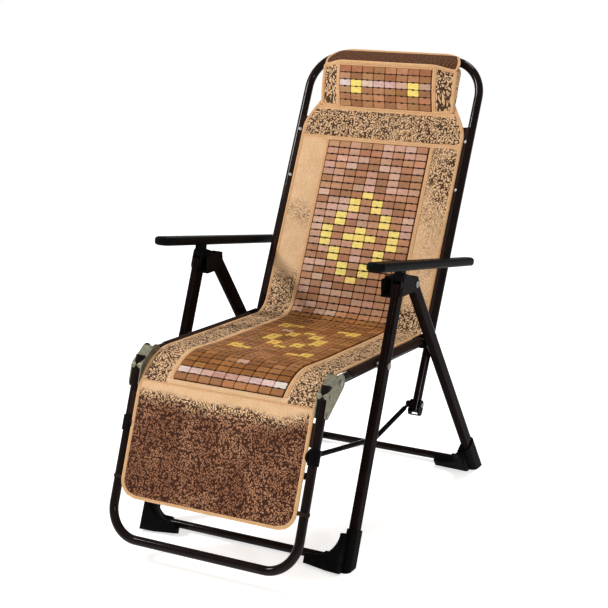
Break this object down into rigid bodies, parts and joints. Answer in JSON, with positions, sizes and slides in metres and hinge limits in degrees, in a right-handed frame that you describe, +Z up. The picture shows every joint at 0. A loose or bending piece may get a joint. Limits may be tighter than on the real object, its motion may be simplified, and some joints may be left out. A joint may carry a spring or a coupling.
{
  "type": "folding reclining chair",
  "caption": "Folding steel-tube reclining chair with a linked footrest, moulded armrests and feet, and a tiled bamboo mat with a head roll",
  "frame": {"origin": "Centre of the whole chair's box, on the floor", "axes": "+X to the sitter's left, -Y the way the sitter faces, +Z up"},
  "size_m": [0.614, 1.0408, 1.0909],
  "materials": {
    "frame_tube": "glossy very dark brown enamel",
    "dark_steel": "black enamel",
    "zinc_steel": "dull zinc plate",
    "pin_steel": "plain steel",
    "foot_plastic": "black moulded plastic",
    "arm_plastic": "black moulded plastic, satin",
    "sling_cloth": "coarse brown woven cloth",
    "pocket_cloth": "dark brown cloth with a beige binding",
    "mat_cloth": "tan jacquard with dark brown curls",
    "bamboo_tile": "carbonised bamboo, lacquered"
  },
  "bodies": {
    "front_frame": {"front_leg_left": "frame_tube", "front_leg_right": "frame_tube", "front_crossbar": "frame_tube", "front_foot_left": "foot_plastic", "front_foot_right": "foot_plastic", "arm_bracket_left": "dark_steel", "arm_bracket_right": "dark_steel", "arm_pivot_pins": "pin_steel", "rear_leg_pins": "pin_steel", "leg_rivets": "pin_steel", "seat_pivot_bolts": "pin_steel", "seat_pivot_spacers": "pin_steel"},
    "rear_frame": {"rear_leg_left": "frame_tube", "rear_leg_right": "frame_tube", "rear_crossbar": "frame_tube", "rear_foot_left": "foot_plastic", "rear_foot_right": "foot_plastic"},
    "armrests": {"armrest_left": "arm_plastic", "armrest_right": "arm_plastic"},
    "seat": {"seat_rail_left": "frame_tube", "seat_rail_right": "frame_tube", "seat_clevis_left": "dark_steel", "seat_clevis_right": "dark_steel", "seat_sling": "sling_cloth", "seat_mat": "mat_cloth", "seat_tiles": "bamboo_tile"},
    "back_pins": {"back_hinge_pins": "pin_steel", "seat_crease_mat": "mat_cloth", "back_crease_mat": "mat_cloth"},
    "back": {"back_frame": "frame_tube", "back_end_caps": "foot_plastic", "back_sling": "sling_cloth", "back_mat": "mat_cloth", "back_tiles": "bamboo_tile", "pillow": "mat_cloth", "pillow_tiles": "bamboo_tile", "top_pocket": "pocket_cloth"},
    "knee_pin_set": {"knee_pins": "pin_steel", "seat_knee_mat": "mat_cloth", "footrest_knee_mat": "mat_cloth"},
    "footrest": {"footrest_frame": "frame_tube", "footrest_crossbar": "frame_tube", "knee_bracket_left": "zinc_steel", "knee_bracket_right": "zinc_steel", "knee_rivets": "pin_steel", "rod_bracket_left": "dark_steel", "rod_bracket_right": "dark_steel", "footrest_sling": "sling_cloth", "footrest_mat": "mat_cloth"},
    "rod_pin_set": {"rod_pins": "pin_steel", "rod_shackle_left": "dark_steel", "rod_shackle_right": "dark_steel"},
    "link_rods": {"link_rod_left": "frame_tube", "link_rod_right": "frame_tube"}
  },
  "joints": [
    {"name": "frame_fold", "type": "hinge", "parent": "front_frame", "child": "seat", "pos_m": [0, -0.12678, 0.43927], "axis": [-1, 0, 0], "range_deg": [0, 80]},
    {"name": "rear_leg_fold", "type": "hinge", "parent": "front_frame", "child": "rear_frame", "pos_m": [0, 0.02002, 0.603], "axis": [-1, 0, 0], "range_deg": [0, 45]},
    {"name": "arm_fold", "type": "hinge", "parent": "front_frame", "child": "armrests", "pos_m": [0, -0.04933, 0.63], "axis": [1, 0, 0], "range_deg": [0, 62]},
    {"name": "back_pin_turn", "type": "hinge", "parent": "seat", "child": "back_pins", "pos_m": [0, 0.19355, 0.423], "axis": [1, 0, 0], "range_deg": [0, 80], "deforming": ["seat_crease_mat"]},
    {"name": "back_recline", "type": "hinge", "parent": "back_pins", "child": "back", "pos_m": [0, 0.19355, 0.423], "axis": [1, 0, 0], "range_deg": [-40, 0], "deforming": ["back_crease_mat"]},
    {"name": "knee_pin_turn", "type": "hinge", "parent": "seat", "child": "knee_pin_set", "pos_m": [0, -0.31845, 0.449], "axis": [1, 0, 0], "range_deg": [0, 80], "deforming": ["seat_knee_mat"]},
    {"name": "footrest_swing", "type": "hinge", "parent": "knee_pin_set", "child": "footrest", "pos_m": [0, -0.31845, 0.449], "axis": [1, 0, 0], "range_deg": [-40, 0], "deforming": ["footrest_knee_mat"]},
    {"name": "rod_pin_turn", "type": "hinge", "parent": "back", "child": "rod_pin_set", "pos_m": [0, 0.11924, 0.26788], "axis": [1, 0, 0], "range_deg": [0, 40]},
    {"name": "rod_swing", "type": "hinge", "parent": "rod_pin_set", "child": "link_rods", "pos_m": [0, 0.11924, 0.26788], "axis": [-1, 0, 0], "range_deg": [0, 80]}
  ],
  "couplings": [
    {"joint": "rear_leg_fold", "follows": "frame_fold", "ratio": 0.5625},
    {"joint": "arm_fold", "follows": "frame_fold", "ratio": 0.775},
    {"joint": "back_pin_turn", "follows": "frame_fold", "ratio": 1},
    {"joint": "knee_pin_turn", "follows": "frame_fold", "ratio": 1},
    {"joint": "rod_swing", "follows": "frame_fold", "ratio": 1},
    {"joint": "footrest_swing", "follows": "back_recline", "ratio": 1},
    {"joint": "rod_pin_turn", "follows": "back_recline", "ratio": -1}
  ]
}
